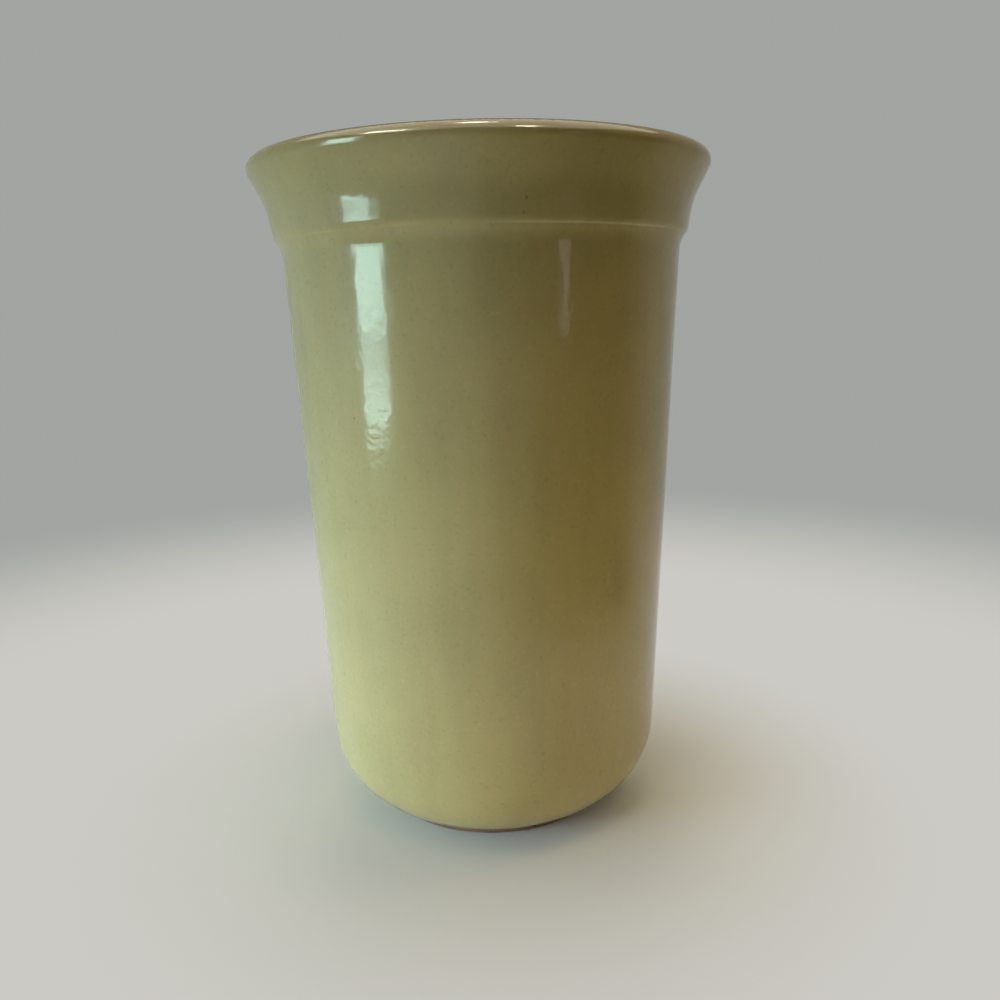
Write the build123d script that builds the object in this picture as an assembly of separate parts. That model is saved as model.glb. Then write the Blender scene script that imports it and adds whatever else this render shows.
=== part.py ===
from build123d import *
import math
import os

# A stoneware crock for kitchen tools, in millimetres.
# It stands on its foot ring at z = 0 and is centred on +Z.
# Each piece is drawn as a half section, radius along X and height along Z, and turned once about Z.
# A line of the section runs with the clay on its left and the air, or a coat of glaze, on its right.

# Fired clay, outside
clay_height = 189.6         # table to the crest of the lip
base_radius = 48.85         # where the wall would meet the base, with no round between them
base_rise = 0.4             # the base, without its foot ring, would stand this far off the table
base_round = 23.9           # the large round from the base to the wall
neck_radius = 56.3          # top of the wall, under the ridge
ridge_step = 2.15           # how far the collar stands out from the wall
ridge_rise = 2.7            # height of the slope that joins the wall to the ridge
collar_height = 20.4        # ridge to crest
collar_spread = 1.35        # growth in radius from the ridge to the flare
flare_height = 12.0         # start of the flare to crest
flare_spread = 2.15         # growth in radius from the start of the flare to the middle of the lip
flare_round = 20.4          # hollow where the collar turns into the flare
lip_thickness = 5.0         # the lip is a full round of this thickness

# Share of the ridge's slope that the hollow under it takes, the rest being the ridge's own round
hollow_share = 0.85

# Fired clay, inside
wall_thickness = 5.6
floor_thickness = 6.5       # top of the floor to the recess below it
inner_round = 13.0          # floor to wall
inner_flare_round = 24.0    # wall to flare

# Foot ring, left bare
foot_radius = 35.0
foot_width = 5.0
foot_edge_round = 0.8
recess_depth = 2.6          # the base is hollowed inside the ring by this much
recess_round = 1.2

# Glaze
glaze_thickness = 0.4
crest_outer_angle = 34.0    # degrees from the crest to where the outer coat ends
crest_inner_angle = 34.0    # degrees from the crest to where the liner coat ends

# Points nearer than this are one point
same_point = 0.0001


def at(radius, height):
    """A point of the half section."""
    return Vector(radius, 0, height)


def right_of(heading):
    """The direction square to a heading, to its right."""
    return Vector(heading.Z, 0, -heading.X)


def turned(heading, angle):
    """A heading turned to its right by an angle in degrees."""
    radians = math.radians(angle)
    return heading * math.cos(radians) + right_of(heading) * math.sin(radians)


def meeting(point, heading, other_point, other_heading):
    """Where two lines of the section cross."""
    across = right_of(other_heading)
    return point + heading * ((other_point - point).dot(across) / heading.dot(across))


def straight(start, end):
    """The straight edge between two points, or none where two arcs meet."""
    if (end - start).length < same_point:
        return []
    return [Line(start, end)]


def arc_about(centre, start, end):
    """The shorter arc about a centre from one point to another."""
    middle = (start - centre + end - centre).normalized() * (start - centre).length
    return ThreePointArc(start, centre + middle, end)


def beside(corners, distance):
    """A line of corners moved to its right by a distance and mitred at its corners."""
    sides = [right_of((after - before).normalized()) for before, after in zip(corners, corners[1:])]
    moved = [corners[0] + sides[0] * distance]
    for corner, before, after in zip(corners[1:-1], sides, sides[1:]):
        moved.append(corner + (before + after) * (distance / (1 + before.dot(after))))
    moved.append(corners[-1] + sides[-1] * distance)
    return moved


def rounded_line(corners, rounds, distance=0):
    """Edges along a line of corners moved to its right, each inner corner with its own round."""
    moved = beside(corners, distance)
    edges = []
    start = moved[0]
    for before, corner, after, radius in zip(moved, moved[1:], moved[2:], rounds):
        heading = (corner - before).normalized()
        leaving = (after - corner).normalized()
        bends_left = right_of(heading).dot(leaving) < 0
        own_radius = radius + distance if bends_left else radius - distance
        reach = own_radius * math.tan(math.radians(heading.get_angle(leaving)) / 2)
        edges += straight(start, corner - heading * reach)
        start = corner + leaving * reach
        edges.append(TangentArc(corner - heading * reach, start, tangent=heading))
    return edges + straight(start, moved[-1])


# Corners of the outer line, from the foot of the wall to the lip
wall_foot = at(base_radius, base_rise)
neck = at(neck_radius, clay_height - collar_height - ridge_rise)
ridge = at(neck_radius + ridge_step, clay_height - collar_height)
flare = at(ridge.X + collar_spread, clay_height - flare_height)
lip_round = lip_thickness / 2
lip_centre = at(flare.X + flare_spread, clay_height - lip_round)

outward = Vector(1, 0, 0)
upward = Vector(0, 0, 1)
wall_heading = (neck - wall_foot).normalized()
slope_heading = (ridge - neck).normalized()
collar_heading = (flare - ridge).normalized()

# The flare runs tangent to the lip's round, outside and inside
to_lip = lip_centre - flare
flare_heading = turned(to_lip.normalized(), math.degrees(math.asin(lip_round / to_lip.length)))
lip_outside = lip_centre + right_of(flare_heading) * lip_round
lip_inside = lip_centre - right_of(flare_heading) * lip_round

# The large round runs tangent to the base and the wall
base_reach = base_round * math.tan(math.radians(outward.get_angle(wall_heading)) / 2)
base_centre = at(base_radius - base_reach, base_rise + base_round)
wall_start = base_centre + right_of(wall_heading) * base_round

# The hollow and the ridge share the slope between them
slope_length = (ridge - neck).length
hollow_turn = math.radians(wall_heading.get_angle(slope_heading))
ridge_turn = math.radians(slope_heading.get_angle(collar_heading))
hollow_round = slope_length * hollow_share / math.tan(hollow_turn / 2)
ridge_round = slope_length * (1 - hollow_share) / math.tan(ridge_turn / 2)

# Corners of the inner line, from the lip to the middle of the floor
floor_height = recess_depth + floor_thickness
inner_wall_point = wall_foot - right_of(wall_heading) * wall_thickness
inner_flare = meeting(lip_inside, flare_heading, inner_wall_point, wall_heading)
floor_corner = meeting(inner_wall_point, wall_heading, at(0, floor_height), outward)


def on_lip(angle, coat=0):
    """The point of the lip's round at an angle from the crest, outwards, under or on a coat."""
    return lip_centre + turned(upward, angle) * (lip_round + coat)


def outer_side(coat=0):
    """Edges from the foot ring up the round, wall, ridge and flare to the lip's round."""
    radius = base_round + coat
    drop = math.sqrt(radius**2 - (foot_radius - base_centre.X) ** 2)
    round_start = at(foot_radius, base_centre.Z - drop)
    wall_end = base_centre + right_of(wall_heading) * radius
    corners = [wall_start, neck, ridge, flare, lip_outside]
    side = rounded_line(corners, [hollow_round, ridge_round, flare_round], coat)
    return [arc_about(base_centre, round_start, wall_end), *side]


def inner_side(coat=0):
    """Edges from the lip's round down the flare and the inner wall to the middle of the floor."""
    corners = [lip_inside, inner_flare, floor_corner, at(0, floor_height)]
    return rounded_line(corners, [inner_flare_round, inner_round], coat)


def outer_line(coat=0):
    """The outer side, with the lip's outer shoulder up to where the outer coat ends."""
    side = outer_side(coat)
    return [*side, arc_about(lip_centre, side[-1] @ 1, on_lip(crest_outer_angle, coat))]


def crest_line(coat=0):
    """The edge over the crest of the lip, between the two coats."""
    start = on_lip(crest_outer_angle, coat)
    return [arc_about(lip_centre, start, on_lip(-crest_inner_angle, coat))]


def inner_line(coat=0):
    """The lip's inner shoulder, from where the liner coat starts, and the inner side."""
    side = inner_side(coat)
    return [arc_about(lip_centre, on_lip(-crest_inner_angle, coat), side[0] @ 0), *side]


def underside_line(coat=0):
    """Edges from the middle of the recess to the foot ring's inner wall."""
    foot_inside = foot_radius - foot_width
    wall_end = at(foot_inside, recess_depth - recess_round)
    corners = [at(0, recess_depth), at(foot_inside, recess_depth), wall_end]
    return rounded_line(corners, [recess_round], coat)


def foot_line():
    """Edges round the bare foot ring, from its inner wall to the large round."""
    foot_inside = foot_radius - foot_width
    start = at(foot_inside, recess_depth - recess_round)
    end = outer_line()[0] @ 0
    corners = [start, at(foot_inside, 0), at(foot_radius, 0), end]
    return rounded_line(corners, [foot_edge_round, foot_edge_round])


def turned_solid(edges):
    """The solid that a closed half section sweeps in one turn about the axis."""
    return revolve(make_face(edges), axis=Axis.Z)


def stoneware_body():
    """The fired clay, with a full round for its lip, closed along the axis of the floor."""
    lip = ThreePointArc(lip_outside, on_lip(0), lip_inside)
    axis_edge = Line(at(0, floor_height), at(0, recess_depth))
    outline = underside_line() + foot_line() + outer_side() + [lip] + inner_side()
    return turned_solid([*outline, axis_edge])


def coat_over(line):
    """A coat of glaze on one line of the clay, closed square at both ends."""
    clay_side = line()
    air_side = line(glaze_thickness)
    start_edge = Line(clay_side[0] @ 0, air_side[0] @ 0)
    end_edge = Line(clay_side[-1] @ 1, air_side[-1] @ 1)
    return turned_solid([*clay_side, *air_side, start_edge, end_edge])


pieces = {
    "stoneware_body": stoneware_body(),
    "outer_glaze": coat_over(outer_line),
    "crest_glaze": coat_over(crest_line),
    "liner_glaze": coat_over(inner_line),
    "underside_glaze": coat_over(underside_line),
}

os.makedirs("parts", exist_ok=True)
for name, solid in pieces.items():
    export_step(solid, f"parts/{name}.step")
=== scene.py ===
import math
from typing import NamedTuple

import bpy
import numpy as np
from bpy.props import FloatProperty, FloatVectorProperty, IntProperty, PointerProperty
from mathutils import Matrix, Vector


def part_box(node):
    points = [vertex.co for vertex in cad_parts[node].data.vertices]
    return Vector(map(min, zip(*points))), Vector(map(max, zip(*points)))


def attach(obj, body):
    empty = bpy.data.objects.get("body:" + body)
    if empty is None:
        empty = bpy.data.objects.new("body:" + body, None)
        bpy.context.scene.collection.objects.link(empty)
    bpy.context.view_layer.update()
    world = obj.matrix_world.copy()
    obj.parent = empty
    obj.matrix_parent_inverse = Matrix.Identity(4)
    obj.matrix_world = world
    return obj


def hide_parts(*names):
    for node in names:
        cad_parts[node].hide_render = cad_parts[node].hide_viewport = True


bl_info = {
    "name": "Stoneware crock",
    "version": (1, 0, 0),
    "blender": (4, 5, 0),
    "location": "View3D > Sidebar > Crock",
    "description": "Lays the coats of glaze on a crock for kitchen tools and sets up a small studio",
    "category": "Add Mesh",
}

# The CAD frame, in metres: the crock stands at z = 0 and is centred on +Z
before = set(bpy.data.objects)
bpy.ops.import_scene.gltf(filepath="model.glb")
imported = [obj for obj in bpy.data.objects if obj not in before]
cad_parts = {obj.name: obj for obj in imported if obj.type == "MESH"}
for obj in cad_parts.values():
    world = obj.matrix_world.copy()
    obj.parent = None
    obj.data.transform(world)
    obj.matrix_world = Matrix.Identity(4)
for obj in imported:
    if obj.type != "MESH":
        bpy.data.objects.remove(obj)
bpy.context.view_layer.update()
CLAY_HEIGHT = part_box("stoneware_body")[1].z
RECESS_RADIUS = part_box("underside_glaze")[1].x


# Sizes, angles and colours that the sidebar shows

def length(name, description, default):
    """A size in metres, shown in the scene's own unit."""
    return FloatProperty(name=name, description=description, default=default, unit="LENGTH", precision=5)


def share(name, description, default):
    """A part of a whole, from 0 to 1."""
    return FloatProperty(name=name, description=description, default=default, min=0, max=1, subtype="FACTOR")


def angle(name, description, default):
    """An angle, written in degrees here and kept in radians."""
    return FloatProperty(name=name, description=description, default=math.radians(default), subtype="ANGLE")


def colour(name, description, default):
    """A linear colour."""
    return FloatVectorProperty(name=name, description=description, default=default, size=3, min=0, max=1,
                               subtype="COLOR")


class CrockForm(bpy.types.PropertyGroup):
    """Sizes of the half section: the CAD solids', with a slightly fuller round over the ridge."""

    base_radius: length("Base radius", "Where the wall would meet the base with no round", 0.04885)
    base_rise: length("Base rise", "The base, without its foot ring, stands this far up", 0.0004)
    base_round: length("Base round", "Large round from the base to the wall", 0.0239)
    neck_radius: length("Neck radius", "Top of the wall, under the ridge", 0.0563)
    ridge_step: length("Ridge step", "How far the collar stands out from the wall", 0.00215)
    ridge_rise: length("Ridge rise", "Height of the slope between wall and ridge", 0.0027)
    hollow_share: share("Hollow share", "Share of the ridge's slope that the hollow takes", 0.75)
    collar_height: length("Collar height", "Ridge to crest", 0.0204)
    collar_spread: length("Collar spread", "Growth in radius from ridge to flare", 0.00135)
    flare_height: length("Flare height", "Start of the flare to crest", 0.012)
    flare_spread: length("Flare spread", "Growth in radius from the flare's start to the lip", 0.00215)
    flare_round: length("Flare round", "Hollow where the collar turns into the flare", 0.0204)
    lip_thickness: length("Lip thickness", "The lip is a full round of this thickness", 0.005)
    wall_thickness: length("Wall thickness", "Clay of the wall", 0.0056)
    floor_height: length("Floor height", "Top of the clay floor", 0.0091)
    inner_round: length("Inner round", "Floor to wall, inside", 0.013)
    inner_flare_round: length("Inner flare round", "Wall to flare, inside", 0.024)
    foot_radius: length("Foot radius", "Outside of the bare ring", 0.035)
    recess_depth: length("Recess depth", "Hollow inside the ring", 0.0026)
    recess_round: length("Recess round", "Corner of the recess", 0.0012)


class CrockGlaze(bpy.types.PropertyGroup):
    """How the coats lie and look."""

    thickness: length("Thickness", "The coat where it lies full", 0.0004)
    seam: angle("Seam", "From the crest to where the crest's own coat ends, on either side", 34)
    draw: length("Draw", "Reach over which the melted coat evens out along the section", 0.0016)
    taper: length("Taper", "Reach over which the coat thins towards its bare edge", 0.002)
    waviness: length("Waviness", "Depth of the slow waves in the fired surface", 0.00008)
    butter: colour("Butter", "Main colour of the glaze", (0.55, 0.465, 0.205))
    liner: colour("Liner", "Glaze inside the crock", (0.57, 0.495, 0.24))
    brown: colour("Brown", "The clay as it shows through thin glaze", (0.14, 0.07, 0.032))
    clay: colour("Clay", "Bare fired clay", (0.25, 0.145, 0.085))
    speck: colour("Speck", "Iron specks", (0.09, 0.06, 0.03))
    roughness: share("Roughness", "Of the full coat", 0.1)


class CrockMesh(bpy.types.PropertyGroup):
    """How finely the turned surfaces are divided."""

    columns: IntProperty(name="Columns", description="Divisions round the axis", default=256, min=16)
    spacing: length("Spacing", "Longest step along a straight run", 0.002)
    arc_step: angle("Arc step", "Largest turn between two rows of a round", 4)


class CrockStudio(bpy.types.PropertyGroup):
    """Camera, lamps and backdrop."""

    lens: FloatProperty(name="Lens", description="Focal length in mm on a 36 mm sensor", default=32.94)
    camera_distance: length("Camera distance", "From the crock's axis, along -Y", 0.275486)
    camera_height: length("Camera height", "Above the floor", 0.1483034)
    pitch: angle("Pitch", "Downward tilt of the camera", 11.6423)
    yaw: angle("Yaw", "Turn of the camera to the right", 0.7455)
    roll: angle("Roll", "Turn of the camera about its line of sight", -1.421)
    floor: colour("Floor", "Pale floor", (0.85, 0.85, 0.86))
    far_floor: colour("Far floor", "The floor as the camera sees it further off", (0.6, 0.59, 0.555))
    wall: colour("Wall", "Pale backdrop", (0.36, 0.375, 0.355))
    fill: colour("Fill", "Light from all round", (0.011, 0.01, 0.008))


# Half sections. A row is (radius, height, facing, bend): facing is the angle from straight up to the side
# where the air is, positive away from the axis; bend is one over the radius of a round, negative in a hollow.

POINT = slice(0, 2)
FACING = 2
BEND = 3


def facing_vector(facing):
    """The unit vector (sine, cosine) of a facing."""
    return np.stack([np.sin(facing), np.cos(facing)], axis=-1)


def facing_of(start, end):
    """The facing of a run: its heading turned a quarter to the right."""
    along_radius, along_height = end - start
    return math.atan2(along_height, -along_radius)


def straight_rows(start, end, spacing):
    """Rows on a straight run: start + (end - start) times shares from 0 to 1."""
    count = max(2, math.ceil(np.linalg.norm(end - start) / spacing) + 1)
    points = start + (end - start) * np.linspace(0, 1, count)[:, None]
    return np.column_stack([points, np.full(count, facing_of(start, end)), np.zeros(count)])


def arc_rows(centre, radius, first, last, step):
    """Rows on a round: centre + radius times the facing's vector, as the facing goes from first to last."""
    count = max(3, math.ceil(abs(last - first) / step) + 1)
    facings = np.linspace(first, last, count)
    points = centre + radius * facing_vector(facings)
    return np.column_stack([points, facings, np.full(count, 1 / radius)])


def joined(parts):
    """Row blocks end to end, with the doubled row at each join dropped."""
    return np.vstack([part[:-1] for part in parts[:-1]] + [parts[-1]])


def rounded_rows(corners, rounds, mesh):
    """Rows along a line of corners, each inner corner with its own round.

    A round of radius R between runs that turn by an angle T leaves each run R * tan(T / 2) from the corner,
    and its centre lies R square to the run there, on the side that the line turns to.
    """
    parts = []
    start = corners[0]
    for before, corner, after, radius in zip(corners, corners[1:], corners[2:], rounds):
        first = facing_of(before, corner)
        turn = (facing_of(corner, after) - first + math.pi) % (2 * math.pi) - math.pi
        signed = -math.copysign(radius, turn)
        reach = radius * math.tan(abs(turn) / 2)
        entry = corner - (corner - before) * (reach / np.linalg.norm(corner - before))
        leave = corner + (after - corner) * (reach / np.linalg.norm(after - corner))
        centre = entry - signed * facing_vector(first)
        parts.append(straight_rows(start, entry, mesh.spacing))
        parts.append(arc_rows(centre, signed, first, first + turn, mesh.arc_step))
        start = leave
    return joined([*parts, straight_rows(start, corners[-1], mesh.spacing)])


def meeting(point, facing, other_point, other_facing):
    """Where two runs, each given by a point and a facing, cross."""
    squares = np.array([facing_vector(facing), facing_vector(other_facing)])
    return np.linalg.solve(squares, [squares[0] @ point, squares[1] @ other_point])


def crock_rows(form, glaze, mesh):
    """The clay's line from the foot ring, up the outside, over the lip and down to the middle of the floor.

    Returns the rows and the numbers of the rows where the coats meet, outside and inside the crest.
    """
    wall_foot = np.array([form.base_radius, form.base_rise])
    neck = np.array([form.neck_radius, CLAY_HEIGHT - form.collar_height - form.ridge_rise])
    ridge = np.array([form.neck_radius + form.ridge_step, CLAY_HEIGHT - form.collar_height])
    flare = np.array([ridge[0] + form.collar_spread, CLAY_HEIGHT - form.flare_height])
    lip_round = form.lip_thickness / 2
    lip_centre = np.array([flare[0] + form.flare_spread, CLAY_HEIGHT - lip_round])

    # The flare touches the lip's round, so it faces further down than the line to the lip's centre
    lean = math.asin(lip_round / np.linalg.norm(lip_centre - flare))
    flare_facing = facing_of(flare, lip_centre) + lean
    lip_outside = lip_centre + lip_round * facing_vector(flare_facing)
    lip_inside = lip_centre - lip_round * facing_vector(flare_facing)

    # The large round touches the base and the wall, and starts over the foot ring's outer edge
    wall_facing = facing_of(wall_foot, neck)
    base_reach = form.base_round * math.tan((math.pi - wall_facing) / 2)
    base_centre = np.array([form.base_radius - base_reach, form.base_rise + form.base_round])
    foot_facing = math.pi - math.asin((form.foot_radius - base_centre[0]) / form.base_round)
    wall_start = base_centre + form.base_round * facing_vector(wall_facing)

    # The hollow and the ridge's own round share the slope between them
    slope = np.linalg.norm(ridge - neck)
    slope_facing = facing_of(neck, ridge)
    hollow = slope * form.hollow_share / math.tan((slope_facing - wall_facing) / 2)
    crown = slope * (1 - form.hollow_share) / math.tan((slope_facing - facing_of(ridge, flare)) / 2)

    inner_wall = wall_foot - form.wall_thickness * facing_vector(wall_facing)
    inner_flare = meeting(lip_inside, flare_facing, inner_wall, wall_facing)
    floor_middle = np.array([0, form.floor_height])
    floor_corner = meeting(inner_wall, wall_facing, floor_middle, 0)

    step = mesh.arc_step
    base = arc_rows(base_centre, form.base_round, foot_facing, wall_facing, step)
    outside = rounded_rows([wall_start, neck, ridge, flare, lip_outside],
                           [hollow, crown, form.flare_round], mesh)
    shoulder = arc_rows(lip_centre, lip_round, flare_facing, glaze.seam, step)
    crest = arc_rows(lip_centre, lip_round, glaze.seam, -glaze.seam, step)
    inner_shoulder = arc_rows(lip_centre, lip_round, -glaze.seam, flare_facing - math.pi, step)
    inside = rounded_rows([lip_inside, inner_flare, floor_corner, floor_middle],
                          [form.inner_flare_round, form.inner_round], mesh)
    outer = joined([base, outside, shoulder])
    rows = joined([outer, crest, inner_shoulder, inside])
    return rows, len(outer) - 1, len(outer) + len(crest) - 2


def recess_rows(form, mesh):
    """The clay's line under the floor, from the middle of the recess to the foot ring's inner wall."""
    middle = np.array([0, form.recess_depth])
    corner = np.array([RECESS_RADIUS, form.recess_depth])
    wall_end = corner - [0, form.recess_round]
    return rounded_rows([middle, corner, wall_end], [form.recess_round], mesh)


# Coats: a line of the clay, and the same line moved out by the depth of the glaze

# Shares of the full thickness: what lies on a straight run, the least on a round, what lies at a bare edge,
# and what a round takes away when its radius is the melt's draw
STRAIGHT_DEPTH = 0.92
LEAST_DEPTH = 0.5
EDGE_DEPTH = 1 / 3
ROUND_LOSS = 0.5

# Slow waves: lobes round the axis, radians to a metre of the line, and start in radians. They die away over
# WAVE_END at both ends of a line.
WAVES = ((3, 55, 0.4), (5, -90, 2.1), (8, 170, 4.0))
WAVE_END = 0.008

# A row nearer to the axis than this is one point
ON_AXIS = 1e-6


def travelled(rows):
    """Length of the line from its start to each row."""
    steps = np.linalg.norm(np.diff(rows[:, POINT], axis=0), axis=1)
    return np.concatenate([[0], np.cumsum(steps)])


def eased(values):
    """The smooth step 3 v**2 - 2 v**3 of values cut to 0..1."""
    cut = np.clip(values, 0, 1)
    return cut * cut * (3 - 2 * cut)


def coat_depth(rows, bare_reach, glaze):
    """Share of its full thickness that the coat has at each row.

    The melt draws off the rounds and into the hollows, so the bend, averaged along the line with a bell
    curve, takes some away. Towards its bare edge the coat eases down to EDGE_DEPTH.
    """
    along = travelled(rows)
    weights = np.exp(-0.5 * ((along[:, None] - along) / glaze.draw) ** 2) * np.gradient(along)
    bend = weights @ rows[:, BEND] / weights.sum(axis=1)
    drawn = np.clip(STRAIGHT_DEPTH - ROUND_LOSS * bend * glaze.draw, LEAST_DEPTH, 1)
    return drawn * (EDGE_DEPTH + (1 - EDGE_DEPTH) * eased(bare_reach / glaze.taper))


def air_side(rows, depth, glaze, mesh):
    """Grid of (radius, height): each row moved along its facing by the coat's depth, less slow waves.

    The waves are sines of the turn and of the length travelled, averaged and brought to 0..1. They die away
    towards both ends of the line, so that neighbouring coats meet flush.
    """
    along = travelled(rows)[:, None]
    turns = np.arange(mesh.columns) * (2 * math.pi / mesh.columns)
    waves = sum(np.sin(lobes * turns + pitch * along + start) for lobes, pitch, start in WAVES)
    waves = waves / (2 * len(WAVES)) + 0.5
    ends = eased(along / WAVE_END) * eased((along[-1] - along) / WAVE_END)
    out = depth[:, None] * glaze.thickness - glaze.waviness * waves * ends
    return rows[:, None, POINT] + out[..., None] * facing_vector(rows[:, FACING])[:, None]


def turned_mesh(name, air, clay, traits):
    """A closed coat turned about +Z: x = radius * cos(turn), y = radius * sin(turn), z = height.

    air is the grid of the air side and clay the plain line under it. The grid of cells runs along the air
    side, back along the clay side and round to its start. A row on the axis becomes one point, so its cells
    become triangles, and cells between two such rows are dropped. traits are values per row of the line, kept
    as attributes of the points.
    """
    count, columns = air.shape[:2]
    section = np.concatenate([air, np.repeat(clay[::-1, None], columns, axis=1)])
    turns = np.arange(columns) * (2 * math.pi / columns)
    radius, height = section[..., 0], section[..., 1]
    points = np.stack([radius * np.cos(turns), radius * np.sin(turns), height], axis=-1).reshape(-1, 3)

    numbers = np.arange(len(points)).reshape(radius.shape)
    on_axis = clay[:, 0] < ON_AXIS
    pole = np.concatenate([on_axis, on_axis[::-1]])
    numbers[pole] = numbers[pole, :1]
    following = np.roll(numbers, -1, axis=0)
    cells = np.stack([numbers, np.roll(numbers, -1, 1), np.roll(following, -1, 1), following], axis=-1)
    pole_after = np.roll(pole, -1)
    quads = cells[~pole & ~pole_after].reshape(-1, 4)
    fan_out = cells[pole & ~pole_after][..., [0, 2, 3]].reshape(-1, 3)
    fan_in = cells[~pole & pole_after][..., [0, 1, 2]].reshape(-1, 3)

    kept = np.unique(numbers)
    faces = [np.searchsorted(kept, block).tolist() for block in (quads, fan_out, fan_in)]
    mesh = bpy.data.meshes.new(name)
    mesh.from_pydata(points[kept], [], sum(faces, []))
    mesh.polygons.foreach_set("use_smooth", np.ones(len(mesh.polygons), bool))

    # The ends are square, so the rows on either side of an end are sharp
    sharp = np.zeros(len(pole), bool)
    sharp[[0, count - 1, count, -1]] = True
    row_of = kept // columns
    edges = np.empty(len(mesh.edges) * 2, np.int32)
    mesh.edges.foreach_get("vertices", edges)
    edge_rows = row_of[edges.reshape(-1, 2)]
    is_sharp = (edge_rows[:, 0] == edge_rows[:, 1]) & (sharp & ~pole)[edge_rows[:, 0]]
    mesh.attributes.new("sharp_edge", "BOOLEAN", "EDGE").data.foreach_set("value", is_sharp)

    for trait, values in traits.items():
        by_row = np.concatenate([values, values[::-1]]).astype(np.float32)
        mesh.attributes.new(trait, "FLOAT", "POINT").data.foreach_set("value", by_row[row_of])
    mesh.validate()
    return mesh


def lay_coat(context, name, node, slot, rows, traits, finish):
    """Adds a coat as an object on the crock's body, in place of its CAD node."""
    scene = context.scene
    air = air_side(rows, traits["depth"], scene.crock_glaze, scene.crock_mesh)
    mesh = turned_mesh(name, air, rows[:, POINT], traits)
    mesh.materials.append(finish)
    coat = bpy.data.objects.new(name, mesh)
    scene.collection.objects.link(coat)
    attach(coat, "root")
    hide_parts(node)


def main_line(scene):
    """The rows over the lip, their traits, and the two seams."""
    form, glaze, mesh = scene.crock_form, scene.crock_glaze, scene.crock_mesh
    rows, outer_seam, inner_seam = crock_rows(form, glaze, mesh)
    along = travelled(rows)
    crest = (along[outer_seam] + along[inner_seam]) / 2
    traits = {
        "depth": coat_depth(rows, along, glaze),
        "bare_reach": along,
        "crest_reach": np.abs(along - crest),
    }
    return rows, traits, outer_seam, inner_seam


def part_of(rows, traits, first, last):
    """A stretch of a line and of its traits, both end rows kept."""
    reach = slice(first, last + 1)
    return rows[reach], {name: values[reach] for name, values in traits.items()}


# Finishes

class Signal:
    """A number that varies over a surface, with the arithmetic that the finishes need."""

    def __init__(self, finish, socket):
        self.finish = finish
        self.socket = socket

    def _maths(self, operation, *terms):
        node = self.finish.node("ShaderNodeMath", {"operation": operation}, dict(enumerate(terms)))
        return Signal(self.finish, node.outputs[0])

    def __add__(self, other):
        return self._maths("ADD", self, other)

    def __sub__(self, other):
        return self._maths("SUBTRACT", self, other)

    def __rsub__(self, other):
        return self._maths("SUBTRACT", other, self)

    def __mul__(self, other):
        return self._maths("MULTIPLY", self, other)

    __radd__ = __add__
    __rmul__ = __mul__

    def angle_over(self, other):
        """The angle whose tangent is this number over the other."""
        return self._maths("ARCTAN2", self, other)

    def size(self):
        """The number without its sign."""
        return self._maths("ABSOLUTE", self)

    def larger(self, other):
        """The larger of two numbers."""
        return self._maths("MAXIMUM", self, other)

    def step(self, low, high):
        """Eases from 0 at low to 1 at high; low may be the larger."""
        ends = {"From Min": min(low, high), "From Max": max(low, high), "To Min": 0.0, "To Max": 1.0}
        settings = {"interpolation_type": "SMOOTHSTEP"}
        node = self.finish.node("ShaderNodeMapRange", settings, {"Value": self, **ends})
        eased_up = Signal(self.finish, node.outputs[0])
        return eased_up if low < high else 1 - eased_up


class Pattern(NamedTuple):
    """A layer of noise, as strong as its share.

    It fades in as the noise goes from low to high, and low may be the larger.
    """

    period: float
    low: float
    high: float
    share: float
    detail: float = 3.0
    stretch: tuple = (1, 1, 1)


# Sockets of a Mix node that works on colours, which share their names with its other sockets
FIRST_COLOUR = 6
SECOND_COLOUR = 7
MIXED_COLOUR = 2


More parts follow.
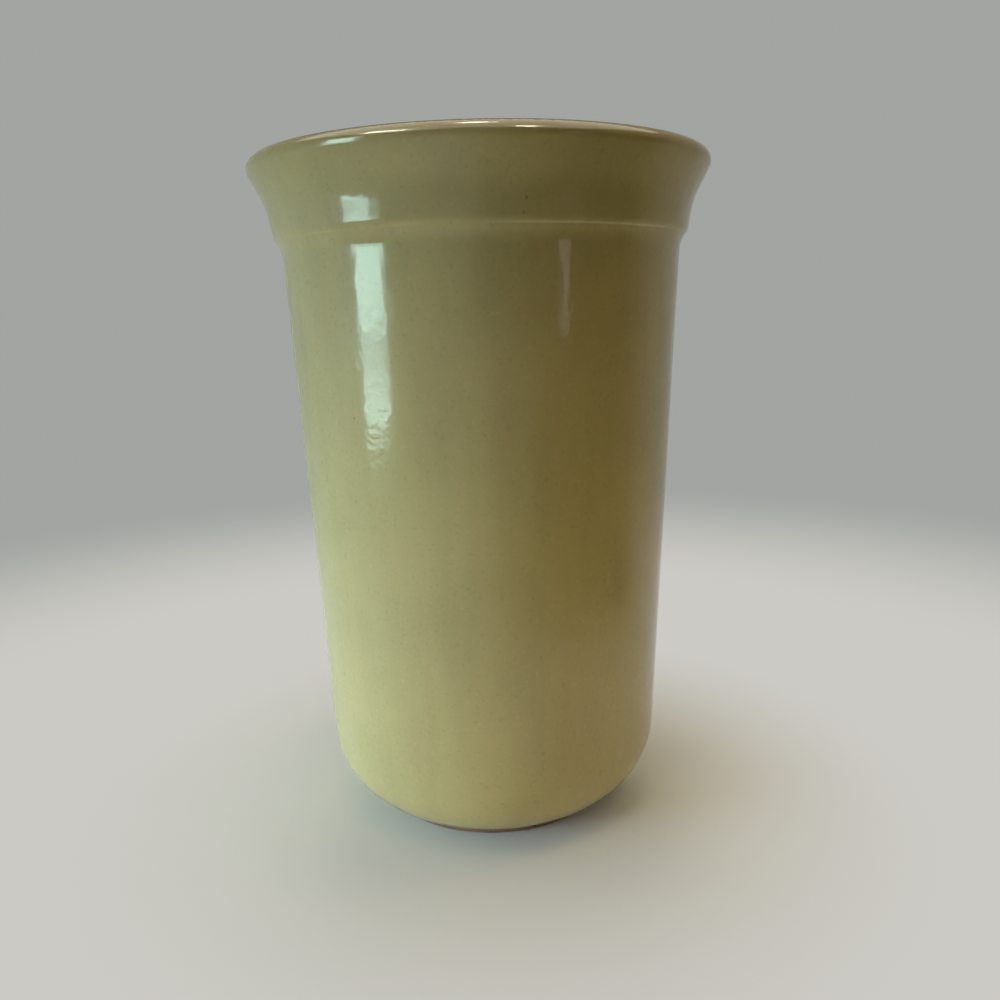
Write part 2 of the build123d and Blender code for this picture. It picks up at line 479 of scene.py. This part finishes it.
class Finish:
    """The nodes of one procedural material, or of the world."""

    def __init__(self, owner):
        self.owner = owner
        owner.use_nodes = True
        self.tree = owner.node_tree
        self.tree.nodes.clear()
        self.place = self.node("ShaderNodeTexCoord").outputs["Object"]

    def node(self, kind, settings=None, inputs=None):
        """Adds a node: its settings are set first, then its sockets get values or links."""
        node = self.tree.nodes.new(kind)
        for key, value in (settings or {}).items():
            setattr(node, key, value)
        for key, value in (inputs or {}).items():
            source = value.socket if isinstance(value, Signal) else value
            if isinstance(source, bpy.types.NodeSocket):
                self.tree.links.new(source, node.inputs[key])
            else:
                node.inputs[key].default_value = source
        return node

    def trait(self, name):
        """An attribute of the mesh."""
        return Signal(self, self.node("ShaderNodeAttribute", {"attribute_name": name}).outputs["Fac"])

    def stretched(self, scale):
        """Object coordinates, scaled along each axis."""
        return self.node("ShaderNodeMapping", None, {"Vector": self.place, "Scale": scale}).outputs[0]

    def noise(self, period, detail=3.0, stretch=(1, 1, 1)):
        """Noise from 0 to 1 whose clouds are about a period across."""
        inputs = {"Vector": self.stretched(stretch), "Scale": 1 / period, "Detail": detail}
        return Signal(self, self.node("ShaderNodeTexNoise", None, inputs).outputs[0])

    def layer(self, pattern):
        """A pattern as it fades in, times its share."""
        clouds = self.noise(pattern.period, pattern.detail, pattern.stretch)
        return clouds.step(pattern.low, pattern.high) * pattern.share

    def dots(self, spacing, radius, core=0.4):
        """Round dots, scattered one to a cell: 1 within the core's share of the radius, 0 from the radius."""
        inputs = {"Vector": self.place, "Scale": 1 / spacing}
        distance = Signal(self, self.node("ShaderNodeTexVoronoi", None, inputs).outputs["Distance"])
        return distance.step(radius / spacing, core * radius / spacing)

    def dot_at(self, centre, radius, ragged, core=0.2):
        """One dot at a place on the piece, with a ragged edge."""
        node = self.node("ShaderNodeVectorMath", {"operation": "DISTANCE"}, {0: self.place, 1: centre})
        return (Signal(self, node.outputs["Value"]) + ragged).step(radius, core * radius)

    def mix(self, factor, first, second):
        """From the first colour to the second."""
        inputs = {"Factor": factor, FIRST_COLOUR: with_alpha(first), SECOND_COLOUR: with_alpha(second)}
        return self.node("ShaderNodeMix", {"data_type": "RGBA"}, inputs).outputs[MIXED_COLOUR]

    def away(self):
        """Distance from the foot of the axis."""
        node = self.node("ShaderNodeVectorMath", {"operation": "LENGTH"}, {0: self.place})
        return Signal(self, node.outputs["Value"])

    def off_azimuth(self, azimuth):
        """Angle about the axis from an azimuth, on either side of it."""
        part = self.node("ShaderNodeSeparateXYZ", None, {0: self.place}).outputs
        x, y = Signal(self, part["X"]), Signal(self, part["Y"])
        along = x * math.sin(azimuth) - y * math.cos(azimuth)
        across = x * math.cos(azimuth) + y * math.sin(azimuth)
        return across.angle_over(along).size()

    def looked_at(self):
        """1 for the camera's own rays and those in gloss and clear glass, 0 for the rest."""
        path = self.node("ShaderNodeLightPath").outputs
        seen = Signal(self, path["Is Camera Ray"]).larger(path["Is Glossy Ray"])
        return seen.larger(path["Is Transmission Ray"])

    def bump(self, height, distance):
        """A normal raised by a height from 0 to 1 over a distance."""
        return self.node("ShaderNodeBump", None, {"Height": height, "Distance": distance}).outputs[0]

    def surface(self, inputs):
        """Ends the material in one principled shader."""
        shader = self.node("ShaderNodeBsdfPrincipled", None, inputs)
        self.node("ShaderNodeOutputMaterial", None, {"Surface": shader.outputs[0]})
        return self.owner


def with_alpha(value):
    """A plain colour with its fourth number, or a link as it is."""
    return value if isinstance(value, bpy.types.NodeSocket) else (*value, 1.0)


def scaled(value, factor):
    """A colour with each number times a factor."""
    return tuple(part * factor for part in value)


def tinted(value, tint):
    """A colour with each number times the tint's own."""
    return tuple(part * factor for part, factor in zip(value, tint))


# Layers of the glaze's colour. The other lengths here are in metres too.
CLOUDS = Pattern(period=0.035, low=0.35, high=0.7, share=0.6)
STREAKS = Pattern(period=0.006, low=0.4, high=0.75, share=0.3, detail=2.0, stretch=(1, 1, 0.12))
DARK_FLECK = Pattern(period=0.0011, low=0.58, high=0.72, share=0.13)
PALE_FLECK = Pattern(period=0.0011, low=0.42, high=0.28, share=0.28)
WEAR = Pattern(period=0.0016, low=0.3, high=0.7, share=1.0)

# Colours as shares of the full one: where the glaze pools, in its pale fleck, where it lies thin, and under
# the crock, where the glaze is darkened as painted shade
POOLED = 0.84
PALE = 1.2
THIN_TINT = (1.0, 0.9, 0.72)
UNDERSIDE_PAINTED_SHADE = 0.94

# Depths that the thin colour fades in between, and how strongly it shows
THIN_FADE = (0.8, 0.5)
THIN_SHARE = 0.4

# The brown break: reaches from the crest and from the bare edge that it fades in between, how ragged its
# border is, and how much paler it is where it is worn
CREST_FADE = (0.0018, 0.0011)
EDGE_FADE = (0.001, 0.0003)
RAGGED_PERIOD = 0.0012
RAGGED_DEPTH = 0.0012
WORN = 1.5

# Iron specks: those scattered all over, and those on the front, each by its place and radius
IRON_SPACING = 0.011
IRON_RADIUS = 0.0002
IRON_SHARE = 0.6
FRONT_SPECKS = (
    ((0.0106, -0.0586, 0.1735), 0.0006),
    ((0.0100, -0.0582, 0.1702), 0.0004),
    ((-0.0068, -0.0577, 0.1681), 0.0003),
    ((-0.0335, -0.0433, 0.1226), 0.0004),
)

# The glaze's skin: slow ripples and fine peel, how much of each, and how deep they go together
RIPPLE = {"period": 0.01, "detail": 2.0, "stretch": (1, 1, 0.6)}
RIPPLE_SHARE = 0.85
PEEL = {"period": 0.0026, "detail": 1.0}
PEEL_SHARE = 0.3
SKIN_DEPTH = 0.00022

# Gloss: its index, and the roughness that clouds and the brown break add
GLAZE_INDEX = 1.5
CLOUD_ROUGHNESS = 0.05
BREAK_ROUGHNESS = 0.12


def glaze_finish(name, full, glaze, specks=()):
    """A gloss glaze: clouded full colour, fleck, iron specks, brown where it breaks, and an uneven skin."""
    finish = Finish(bpy.data.materials.new(name))
    thin = finish.trait("depth").step(*THIN_FADE) * THIN_SHARE
    body = finish.mix(finish.layer(CLOUDS) + finish.layer(STREAKS), full, scaled(full, POOLED))
    body = finish.mix(thin, body, tinted(full, THIN_TINT))
    body = finish.mix(finish.layer(DARK_FLECK), body, glaze.speck)
    body = finish.mix(finish.layer(PALE_FLECK), body, scaled(full, PALE))

    ragged = (finish.noise(RAGGED_PERIOD) - 0.5) * RAGGED_DEPTH
    iron = finish.dots(IRON_SPACING, IRON_RADIUS)
    for centre, radius in specks:
        iron = iron.larger(finish.dot_at(centre, radius, ragged))
    body = finish.mix(iron * IRON_SHARE, body, glaze.speck)

    crest = (finish.trait("crest_reach") + ragged).step(*CREST_FADE)
    edge = (finish.trait("bare_reach") + ragged).step(*EDGE_FADE)
    broken = crest.larger(edge)
    brown = finish.mix(finish.layer(WEAR), glaze.brown, scaled(glaze.brown, WORN))
    uneven = CLOUD_ROUGHNESS * finish.noise(CLOUDS.period) + BREAK_ROUGHNESS * broken
    skin = finish.noise(**RIPPLE) * RIPPLE_SHARE + finish.noise(**PEEL) * PEEL_SHARE
    return finish.surface({
        "Base Color": finish.mix(broken, body, brown),
        "Roughness": glaze.roughness + uneven,
        "IOR": GLAZE_INDEX,
        "Normal": finish.bump(skin, SKIN_DEPTH),
    })


# Bare clay: its clouds and pale grains, its grit, and its roughness and skin, which follow the grains
CLAY_CLOUDS = Pattern(period=0.012, low=0.3, high=0.7, share=1.0)
GRAINS = Pattern(period=0.0006, low=0.5, high=0.75, share=0.5, detail=4.0)
DARK_CLAY = 0.7
PALE_CLAY = 1.45
GRIT_SPACING = 0.0021
GRIT_RADIUS = 0.0004
GRIT_SHARE = 0.7
GRIT_DEPTH = 0.5
CLAY_ROUGHNESS = 0.8
GRAIN_ROUGHNESS = 0.15
GRAIN_DEPTH = 0.00015


def clay_finish(name, glaze):
    """Bare fired clay: clouded brown with pale grains, dark grit, and a gritty skin."""
    finish = Finish(bpy.data.materials.new(name))
    grain = finish.noise(GRAINS.period, GRAINS.detail)
    grit = finish.dots(GRIT_SPACING, GRIT_RADIUS)
    body = finish.mix(finish.layer(CLAY_CLOUDS), glaze.clay, scaled(glaze.clay, DARK_CLAY))
    body = finish.mix(finish.layer(GRAINS), body, scaled(glaze.clay, PALE_CLAY))
    body = finish.mix(grit * GRIT_SHARE, body, glaze.speck)
    return finish.surface({
        "Base Color": body,
        "Roughness": CLAY_ROUGHNESS + GRAIN_ROUGHNESS * grain,
        "Normal": finish.bump(grain - GRIT_DEPTH * grit, GRAIN_DEPTH),
    })


# Pieces

class CROCK_OT_fired_clay(bpy.types.Operator):
    """Give the fired clay its bare, gritty finish; its CAD shape stays"""

    bl_idname = "crock.fired_clay"
    bl_label = "Fired clay"

    def execute(self, context):
        finish = clay_finish("bare_clay", context.scene.crock_glaze)
        for material_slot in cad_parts["stoneware_body"].material_slots:
            material_slot.material = finish
        return {"FINISHED"}


class CROCK_OT_outer_coat(bpy.types.Operator):
    """Lay the outer coat, from just above the foot ring to the lip's outer shoulder"""

    bl_idname = "crock.outer_coat"
    bl_label = "Outer coat"

    def execute(self, context):
        glaze = context.scene.crock_glaze
        rows, traits, outer_seam, _ = main_line(context.scene)
        finish = glaze_finish("butter_gloss", glaze.butter, glaze, FRONT_SPECKS)
        lay_coat(context, "outer_coat", "outer_glaze", "butter_glaze",
                 *part_of(rows, traits, 0, outer_seam), finish)
        return {"FINISHED"}


class CROCK_OT_crest_coat(bpy.types.Operator):
    """Lay the narrow band on the lip's crest, where the glaze breaks brown"""

    bl_idname = "crock.crest_coat"
    bl_label = "Crest coat"

    def execute(self, context):
        glaze = context.scene.crock_glaze
        rows, traits, outer_seam, inner_seam = main_line(context.scene)
        finish = glaze_finish("brown_break", glaze.butter, glaze)
        lay_coat(context, "crest_coat", "crest_glaze", "brown_break_glaze",
                 *part_of(rows, traits, outer_seam, inner_seam), finish)
        return {"FINISHED"}


class CROCK_OT_liner_coat(bpy.types.Operator):
    """Lay the coat inside, from the lip's inner shoulder to the middle of the floor"""

    bl_idname = "crock.liner_coat"
    bl_label = "Liner coat"

    def execute(self, context):
        glaze = context.scene.crock_glaze
        rows, traits, _, inner_seam = main_line(context.scene)
        finish = glaze_finish("liner_gloss", glaze.liner, glaze)
        lay_coat(context, "liner_coat", "liner_glaze", "liner_glaze",
                 *part_of(rows, traits, inner_seam, len(rows) - 1), finish)
        return {"FINISHED"}


class CROCK_OT_underside_coat(bpy.types.Operator):
    """Lay the coat in the recess inside the foot ring"""

    bl_idname = "crock.underside_coat"
    bl_label = "Underside coat"

    def execute(self, context):
        scene = context.scene
        glaze = scene.crock_glaze
        rows = recess_rows(scene.crock_form, scene.crock_mesh)
        along = travelled(rows)
        bare_reach = along[-1] - along
        traits = {
            "depth": coat_depth(rows, bare_reach, glaze),
            "bare_reach": bare_reach,
            "crest_reach": np.full(len(rows), scene.crock_form.foot_radius),
        }
        # The underside's glaze is the butter colour darkened as painted shade under the crock
        finish = glaze_finish("underside_gloss", scaled(glaze.butter, UNDERSIDE_PAINTED_SHADE), glaze)
        lay_coat(context, "underside_coat", "underside_glaze", "underside_glaze", rows, traits, finish)
        return {"FINISHED"}


# Studio. Azimuths and elevations are in degrees, lengths in metres, radiances in watts to a square metre.

SENSOR_WIDTH = 36
CLIP_START = 0.01

BLACK = (0, 0, 0)

# A surface without gloss, whose emission colour shows as it is written
PLAIN = {"Roughness": 1.0, "Specular IOR Level": 0.0, "Emission Strength": 1.0}

# The sweep: its sizes, and the distances from the crock over which it goes from lit floor to plain colour
# and from the floor's colour to the backdrop's
SWEEP = {"half_width": 0.5, "front": -4, "back": 0.5, "bend": 0.5, "top": 3, "rows": 24}
LIT_TO_PLAIN = (0.02, 0.14)
FLOOR_TO_WALL = (0.22, 0.5)

# The dark card: the middle and half of its turn about the axis, how softly it ends at either side, the
# distances over which it comes in along the floor, and its shade against the backdrop
CARD_MIDDLE = math.radians(46)
CARD_HALF_TURN = math.radians(62)
CARD_FADE = math.radians(32)
CARD_START = (0.12, 0.26)
CARD_SHADE = 0.06

# Its trough as (radius, height), from its front edge on the floor to its top, and its columns
CARD_LINE = ((CARD_START[0], 0.002), (0.6, 0.004), (0.7, 0.1), (0.7, 0.34))
CARD_COLUMNS = 48

WHITE = (1.0, 1.0, 1.0)
MINT = (0.62, 1.0, 0.92)
COOL = (0.71, 1.0, 1.23)
AMBER = (1.27, 1.0, 0.42)
STRAW = (1.1, 1.0, 0.7)
GOLD = (1.22, 1.0, 0.6)
CREAM = (1.0, 0.93, 0.8)
IVORY = (1.0, 0.97, 0.8)

# Low lamps round the crock: azimuth, distance, height, radiance and tint
LOW_LAMPS = {
    "key": (-90, 0.6, 0.05, 0.85, COOL),
    "key_front": (-70, 0.6, 0.1, 2.45, COOL),
    "key_back": (-112, 0.6, 0.1, 0.85, COOL),
    "low_front": (14, 0.5, 0.05, 0.36, GOLD),
}
LOW_SIZE = (0.3, 0.1)
LOW_SPREAD = 52
LOW_TARGET = (0, 0, 0)

# High lamps: place, size, radiance and tint
HIGH_LAMPS = {
    "overhead": ((0, 0, 1.3), (0.2, 0.2), 12, STRAW),
    "over_front": ((-0.05, -0.3, 1.1), (0.3, 0.3), 3.95, AMBER),
    "over_right": ((0.5, 0.1, 0.8), (0.3, 0.5), 1.45, AMBER),
    "back": ((0, 0.8, 0.35), (0.5, 0.4), 3.3, STRAW),
}
HIGH_TARGET = (0, 0, 0.05)

# Upright panes that only the gloss sees: azimuth, distance, lower edge, upper edge, width, radiance and tint
PANES = {
    "wide_pane": (-62.5, 2.02, -0.3, 0.78, 0.78, 1.6, MINT),
    "upper_pane": (-64.2, 2, -0.02, 0.78, 0.62, 9, MINT),
    "dim_pane": (-65, 2, -0.17, -0.02, 0.64, 3.4, MINT),
    "lower_pane": (-65.8, 2, -0.265, -0.17, 0.6, 9, MINT),
    "right_strip": (43, 0.451, 0.102, 0.157, 0.045, 1.2, WHITE),
}

# The wide light overhead that only the gloss sees: place, target, size, radiance and tint
CEILING = ((0, -0.6, 1.4), (0, -0.6, 0), (3.2, 2.6), 2.3, IVORY)

# Small lights over the crest that only the gloss sees: azimuth, elevation and size
GLINTS = {
    "glint_1": (-46, 33.5, (0.26, 0.16)),
    "glint_2": (-5, 77, (0.16, 0.2)),
    "glint_3": (24, 35, (0.13, 0.15)),
}
GLINT_DISTANCE = 0.9
GLINT_RADIANCE = 24


def from_axis(azimuth, elevation, distance, height):
    """A point seen from the crock's axis at a height: azimuth 0 is towards -Y and grows towards +X."""
    turn, rise = math.radians(azimuth), math.radians(elevation)
    flat = distance * math.cos(rise)
    return Vector((flat * math.sin(turn), -flat * math.cos(turn), height + distance * math.sin(rise)))


def lamp(context, name, place, target, size, radiance, tint, spread=180, in_gloss=False):
    """A rectangular soft lamp at a place, turned towards a target, with its spread in degrees.

    One that shows in the gloss adds nothing else, so that the light on the crock and the lights in its gloss
    are set apart.
    """
    light = bpy.data.lights.new(name, "AREA")
    light.shape = "RECTANGLE"
    light.size, light.size_y = size
    light.energy = radiance * math.pi * size[0] * size[1]
    light.color = tint
    light.spread = math.radians(spread)
    holder = bpy.data.objects.new(name, light)
    holder.location = place
    holder.rotation_euler = (Vector(target) - Vector(place)).to_track_quat("-Z", "Y").to_euler()
    holder.visible_glossy = in_gloss
    holder.visible_diffuse = not in_gloss
    holder.visible_camera = False
    context.scene.collection.objects.link(holder)


def sweep_mesh(half_width, front, back, bend, top, rows):
    """Floor and backdrop as one surface: a flat run, a quarter round of radius bend, and an upright run."""
    turn = np.linspace(0, math.pi / 2, rows)
    depth = np.concatenate([[front], back + bend * np.sin(turn), [back + bend]])
    height = np.concatenate([[0], bend * (1 - np.cos(turn)), [top]])
    across = np.array([-half_width, half_width])
    count = len(depth)
    points = np.stack([np.tile(across, count), np.repeat(depth, 2), np.repeat(height, 2)], axis=-1)
    first = np.arange(count - 1) * 2
    faces = np.stack([first, first + 1, first + 3, first + 2], axis=-1)
    mesh = bpy.data.meshes.new("sweep")
    mesh.from_pydata(points, [], faces.tolist())
    mesh.polygons.foreach_set("use_smooth", np.ones(len(faces), bool))
    return mesh


def card_mesh():
    """The card's line turned part of the way round: x = radius * sin(turn), y = -radius * cos(turn)."""
    turns = CARD_MIDDLE + np.linspace(-CARD_HALF_TURN, CARD_HALF_TURN, CARD_COLUMNS)
    radius, height = np.array(CARD_LINE).T[..., None]
    points = np.stack([radius * np.sin(turns), -radius * np.cos(turns),
                       np.broadcast_to(height, (len(CARD_LINE), CARD_COLUMNS))], axis=-1)
    numbers = np.arange(points.size // 3).reshape(points.shape[:2])
    faces = np.stack([numbers[:-1, :-1], numbers[:-1, 1:], numbers[1:, 1:], numbers[1:, :-1]], axis=-1)
    mesh = bpy.data.meshes.new("card")
    mesh.from_pydata(points.reshape(-1, 3), [], faces.reshape(-1, 4).tolist())
    return mesh


class CROCK_OT_studio(bpy.types.Operator):
    """Set up the camera, the lamps, the pale floor and the backdrop"""

    bl_idname = "crock.studio"
    bl_label = "Studio"

    def execute(self, context):
        self.add_camera(context)
        self.add_sweep(context)
        self.add_card(context)
        self.add_world(context)
        self.add_lamps(context)
        context.scene.view_settings.view_transform = "Standard"
        return {"FINISHED"}

    def add_camera(self, context):
        """A camera with its line of sight pitched down and turned, then rolled about itself."""
        studio = context.scene.crock_studio
        camera = bpy.data.cameras.new("camera")
        camera.sensor_width = SENSOR_WIDTH
        camera.lens = studio.lens
        camera.clip_start = CLIP_START
        holder = bpy.data.objects.new("camera", camera)
        turned = Matrix.Rotation(-studio.yaw, 4, "Z") @ Matrix.Rotation(math.pi / 2 - studio.pitch, 4, "X")
        place = Matrix.Translation((0, -studio.camera_distance, studio.camera_height))
        holder.matrix_world = place @ turned @ Matrix.Rotation(studio.roll, 4, "Z")
        context.scene.collection.objects.link(holder)
        context.scene.camera = holder

    def add_sweep(self, context):
        """The floor and backdrop.

        Near the crock the floor takes light and shadow. Further off, the camera and the gloss see plain
        colours.
        """
        studio = context.scene.crock_studio
        finish = Finish(bpy.data.materials.new("sweep"))
        away = finish.away()
        seen = finish.mix(away.step(*FLOOR_TO_WALL), studio.far_floor, studio.wall)
        unlit = away.step(*LIT_TO_PLAIN) * finish.looked_at()
        finish.surface({
            "Base Color": finish.mix(unlit, studio.floor, BLACK),
            "Emission Color": finish.mix(unlit, BLACK, seen),
            **PLAIN,
        })
        sweep = bpy.data.objects.new("sweep", sweep_mesh(**SWEEP))
        sweep.data.materials.append(finish.owner)
        context.scene.collection.objects.link(sweep)

    def add_card(self, context):
        """A dark card to the right of the camera, which only the gloss sees, clear towards its edges."""
        studio = context.scene.crock_studio
        finish = Finish(bpy.data.materials.new("card"))
        sides = finish.off_azimuth(CARD_MIDDLE).step(CARD_HALF_TURN, CARD_HALF_TURN - CARD_FADE)
        finish.surface({
            "Base Color": with_alpha(BLACK),
            "Emission Color": with_alpha(scaled(studio.wall, CARD_SHADE)),
            "Alpha": sides * finish.away().step(*CARD_START),
            **PLAIN,
        })
        card = bpy.data.objects.new("card", card_mesh())
        card.data.materials.append(finish.owner)
        card.visible_camera = card.visible_diffuse = card.visible_shadow = False
        context.scene.collection.objects.link(card)

    def add_world(self, context):
        """A pale backdrop all round for the camera and the gloss, and a soft fill for the rest."""
        studio = context.scene.crock_studio
        world = bpy.data.worlds.new("studio")
        finish = Finish(world)
        seen = finish.mix(finish.looked_at(), studio.fill, studio.wall)
        sky = finish.node("ShaderNodeBackground", None, {"Color": seen})
        finish.node("ShaderNodeOutputWorld", None, {"Surface": sky.outputs[0]})
        context.scene.world = world

    def add_lamps(self, context):
        """The lamps that light the crock, and those that show in its gloss."""
        for name, (azimuth, distance, height, radiance, tint) in LOW_LAMPS.items():
            place = from_axis(azimuth, 0, distance, height)
            lamp(context, name, place, LOW_TARGET, LOW_SIZE, radiance, tint, LOW_SPREAD)
        for name, (place, size, radiance, tint) in HIGH_LAMPS.items():
            lamp(context, name, place, HIGH_TARGET, size, radiance, tint)
        for name, (azimuth, distance, low, high, width, radiance, tint) in PANES.items():
            middle = (low + high) / 2
            place = from_axis(azimuth, 0, distance, middle)
            size = (width, high - low)
            lamp(context, name, place, (0, 0, middle), size, radiance, tint, in_gloss=True)
        lamp(context, "ceiling", *CEILING, in_gloss=True)
        for name, (azimuth, elevation, size) in GLINTS.items():
            place = from_axis(azimuth, elevation, GLINT_DISTANCE, CLAY_HEIGHT)
            target = (0, 0, CLAY_HEIGHT)
            lamp(context, name, place, target, size, GLINT_RADIANCE, CREAM, in_gloss=True)


class CROCK_PT_sidebar(bpy.types.Panel):
    """The crock's pieces and studio, in the order that they are made"""

    bl_label = "Stoneware crock"
    bl_space_type = "VIEW_3D"
    bl_region_type = "UI"
    bl_category = "Crock"

    def draw(self, context):
        for operator in OPERATORS:
            self.layout.operator(operator.bl_idname)
        for name, group in GROUPS.items():
            box = self.layout.box()
            for key in group.__annotations__:
                box.prop(getattr(context.scene, name), key)


GROUPS = {
    "crock_form": CrockForm,
    "crock_glaze": CrockGlaze,
    "crock_mesh": CrockMesh,
    "crock_studio": CrockStudio,
}
OPERATORS = (
    CROCK_OT_fired_clay,
    CROCK_OT_outer_coat,
    CROCK_OT_crest_coat,
    CROCK_OT_liner_coat,
    CROCK_OT_underside_coat,
    CROCK_OT_studio,
)
CLASSES = (*GROUPS.values(), *OPERATORS, CROCK_PT_sidebar)


def register():
    for each in CLASSES:
        bpy.utils.register_class(each)
    for name, group in GROUPS.items():
        setattr(bpy.types.Scene, name, PointerProperty(type=group))


def unregister():
    for name in GROUPS:
        delattr(bpy.types.Scene, name)
    for each in reversed(CLASSES):
        bpy.utils.unregister_class(each)


def main():
    """Registers the classes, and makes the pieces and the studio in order."""
    register()
    bpy.ops.crock.fired_clay()
    bpy.ops.crock.outer_coat()
    bpy.ops.crock.crest_coat()
    bpy.ops.crock.liner_coat()
    bpy.ops.crock.underside_coat()
    bpy.ops.crock.studio()


if __name__ == "__main__":
    main()
